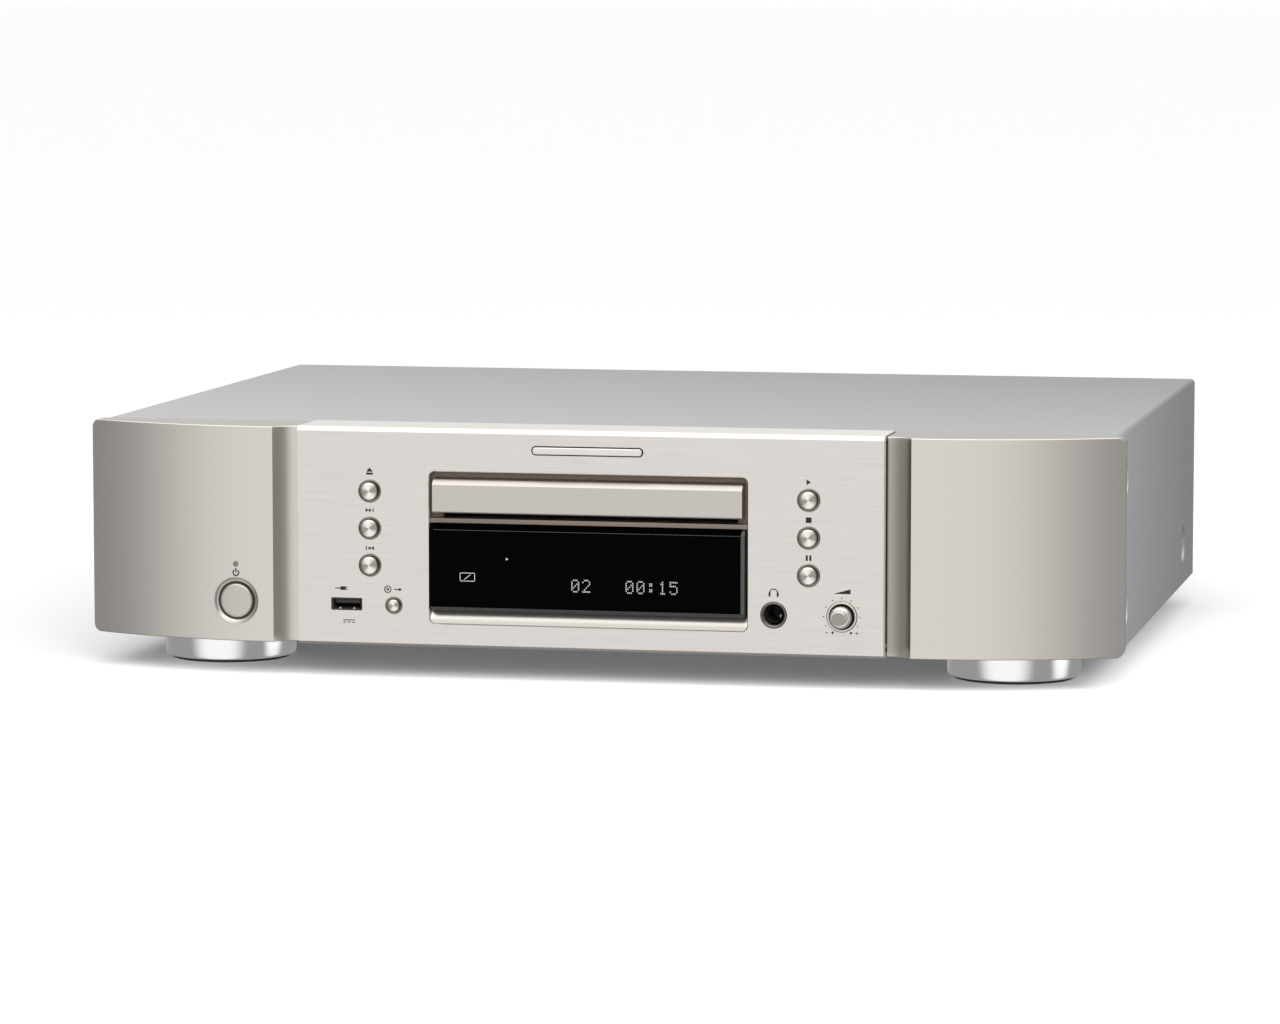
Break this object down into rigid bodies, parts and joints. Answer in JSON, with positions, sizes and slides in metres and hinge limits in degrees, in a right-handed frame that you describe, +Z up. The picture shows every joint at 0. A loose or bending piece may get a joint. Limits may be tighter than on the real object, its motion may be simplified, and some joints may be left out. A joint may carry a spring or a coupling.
{
  "type": "compact disc player",
  "caption": "Full-width compact disc player with a sliding disc tray, display window, push keys, a level knob, curved end panels and round feet.",
  "frame": {"origin": "on the table under the middle of the player's bounding box", "axes": "+Z up, +X to the right of someone facing the front, -Y out of the front panel"},
  "size_m": [0.44, 0.349, 0.105],
  "materials": {
    "champagne_aluminium": "fine horizontal brushing under a clear anodised coat",
    "cover_paint": "satin silver paint over folded sheet",
    "foot_metal": "turned and polished silver finish",
    "key_metal": "spun silver finish",
    "zinc_steel": "zinc plated sheet and motor cans",
    "window_acrylic": "polished black acrylic",
    "dark_moulding": "matt dark moulding",
    "white_moulding": "natural low-friction moulding",
    "rubber": "matt black rubber",
    "circuit_board": "solder-masked laminate",
    "display_glass": "dark display tube",
    "winding": "taped copper winding",
    "jack_metal": "plated socket bush",
    "lens": "coated lens",
    "red_light": "red translucent light guide"
  },
  "bodies": {
    "chassis": {"chassis_base": "zinc_steel", "rear_panel": "zinc_steel", "top_cover": "cover_paint", "front_subframe": "zinc_steel", "front_plate": "champagne_aluminium", "left_end_panel": "champagne_aluminium", "right_end_panel": "champagne_aluminium", "recess_frame": "dark_moulding", "display_window": "window_acrylic", "vacuum_display": "display_glass", "control_board": "circuit_board", "power_button_ring": "champagne_aluminium", "power_switch": "dark_moulding", "standby_light": "red_light", "phones_jack": "jack_metal", "usb_port": "zinc_steel", "knob_ring": "key_metal", "transformer": "winding", "power_board": "circuit_board", "main_board": "circuit_board", "mains_inlet": "dark_moulding", "line_outputs": "dark_moulding", "digital_outputs": "dark_moulding", "loader_frame": "dark_moulding", "clamper_bridge": "zinc_steel", "loading_motor": "zinc_steel", "drive_belt": "rubber", "foot_front_left": "foot_metal", "foot_pad_front_left": "rubber", "foot_front_right": "foot_metal", "foot_pad_front_right": "rubber", "foot_rear_left": "foot_metal", "foot_pad_rear_left": "rubber", "foot_rear_right": "foot_metal", "foot_pad_rear_right": "rubber"},
    "tray": {"disc_tray": "dark_moulding", "drawer_front": "champagne_aluminium"},
    "loading_gear": {"loading_gear": "white_moulding"},
    "motor_pulley": {"motor_pulley": "white_moulding"},
    "traverse": {"traverse_plate": "zinc_steel", "spindle_motor": "zinc_steel", "guide_rod_left": "foot_metal", "guide_rod_right": "foot_metal", "sled_motor": "zinc_steel"},
    "turntable": {"turntable": "white_moulding"},
    "clamper": {"clamper": "white_moulding"},
    "pickup": {"optical_pickup": "zinc_steel"},
    "lens": {"pickup_lens": "lens"},
    "sled_gear": {"sled_gear": "white_moulding"},
    "sled_pinion": {"sled_pinion": "white_moulding"},
    "cam_slider": {"cam_slider": "white_moulding"},
    "power_button": {"power_button": "champagne_aluminium"},
    "eject_button": {"eject_button": "key_metal"},
    "next_button": {"next_button": "key_metal"},
    "previous_button": {"previous_button": "key_metal"},
    "play_button": {"play_button": "key_metal"},
    "stop_button": {"stop_button": "key_metal"},
    "pause_button": {"pause_button": "key_metal"},
    "input_button": {"input_button": "key_metal"},
    "level_knob": {"level_knob": "key_metal"}
  },
  "joints": [
    {"name": "tray_slide", "type": "slide", "parent": "chassis", "child": "tray", "axis": [0, -1, 0], "range_m": [0, 0.135]},
    {"name": "loading_gear_turn", "type": "hinge", "parent": "chassis", "child": "loading_gear", "pos_m": [-0.038, -0.1235, 0.069], "axis": [0, 0, 1], "range_deg": [0, 645]},
    {"name": "motor_pulley_turn", "type": "hinge", "parent": "chassis", "child": "motor_pulley", "pos_m": [-0.01, -0.1235, 0.062], "axis": [0, 0, 1], "range_deg": [0, 1612]},
    {"name": "traverse_tilt", "type": "hinge", "parent": "chassis", "child": "traverse", "pos_m": [0, -0.0065, 0.062], "axis": [1, 0, 0], "range_deg": [0, 7]},
    {"name": "cam_slide", "type": "slide", "parent": "chassis", "child": "cam_slider", "axis": [1, 0, 0], "range_m": [0, 0.0181]},
    {"name": "turntable_spin", "type": "hinge", "parent": "traverse", "child": "turntable", "pos_m": [0, -0.0865, 0.078], "axis": [0, 0, 1], "continuous": true},
    {"name": "clamper_spin", "type": "hinge", "parent": "chassis", "child": "clamper", "pos_m": [0, -0.0865, 0.085], "axis": [0, 0, 1], "continuous": true},
    {"name": "sled_slide", "type": "slide", "parent": "traverse", "child": "pickup", "axis": [0, 1, 0], "range_m": [0, 0.034]},
    {"name": "sled_gear_turn", "type": "hinge", "parent": "traverse", "child": "sled_gear", "pos_m": [0.0344, -0.0345, 0.0635], "axis": [0, 0, 1], "range_deg": [-305, 0]},
    {"name": "sled_pinion_turn", "type": "hinge", "parent": "traverse", "child": "sled_pinion", "pos_m": [0.0344, -0.0241, 0.0635], "axis": [0, 0, 1], "range_deg": [0, 488]},
    {"name": "lens_focus", "type": "slide", "parent": "pickup", "child": "lens", "axis": [0, 0, 1], "range_m": [-0.0004, 0.0005], "stiffness_N_per_m": 25},
    {"name": "power_button_press", "type": "slide", "parent": "chassis", "child": "power_button", "axis": [0, 1, 0], "range_m": [0, 0.0025], "stiffness_N_per_m": 250, "springref_m": -0.002},
    {"name": "eject_button_press", "type": "slide", "parent": "chassis", "child": "eject_button", "axis": [0, 1, 0], "range_m": [0, 0.0008], "stiffness_N_per_m": 400, "springref_m": -0.001},
    {"name": "next_button_press", "type": "slide", "parent": "chassis", "child": "next_button", "axis": [0, 1, 0], "range_m": [0, 0.0008], "stiffness_N_per_m": 400, "springref_m": -0.001},
    {"name": "previous_button_press", "type": "slide", "parent": "chassis", "child": "previous_button", "axis": [0, 1, 0], "range_m": [0, 0.0008], "stiffness_N_per_m": 400, "springref_m": -0.001},
    {"name": "play_button_press", "type": "slide", "parent": "chassis", "child": "play_button", "axis": [0, 1, 0], "range_m": [0, 0.0008], "stiffness_N_per_m": 400, "springref_m": -0.001},
    {"name": "stop_button_press", "type": "slide", "parent": "chassis", "child": "stop_button", "axis": [0, 1, 0], "range_m": [0, 0.0008], "stiffness_N_per_m": 400, "springref_m": -0.001},
    {"name": "pause_button_press", "type": "slide", "parent": "chassis", "child": "pause_button", "axis": [0, 1, 0], "range_m": [0, 0.0008], "stiffness_N_per_m": 400, "springref_m": -0.001},
    {"name": "input_button_press", "type": "slide", "parent": "chassis", "child": "input_button", "axis": [0, 1, 0], "range_m": [0, 0.0008], "stiffness_N_per_m": 400, "springref_m": -0.001},
    {"name": "level_knob_turn", "type": "hinge", "parent": "chassis", "child": "level_knob", "pos_m": [0.1067, -0.1665, 0.0306], "axis": [0, 1, 0], "range_deg": [-150, 150]}
  ],
  "couplings": [
    {"joint": "loading_gear_turn", "follows": "tray_slide", "rad_per_m": 83.333},
    {"joint": "motor_pulley_turn", "follows": "tray_slide", "rad_per_m": 208.33},
    {"joint": "cam_slide", "follows": "traverse_tilt", "m_per_rad": 0.14733},
    {"joint": "clamper_spin", "follows": "turntable_spin", "ratio": 1},
    {"joint": "sled_gear_turn", "follows": "sled_slide", "rad_per_m": -156.25},
    {"joint": "sled_pinion_turn", "follows": "sled_slide", "rad_per_m": 250}
  ]
}
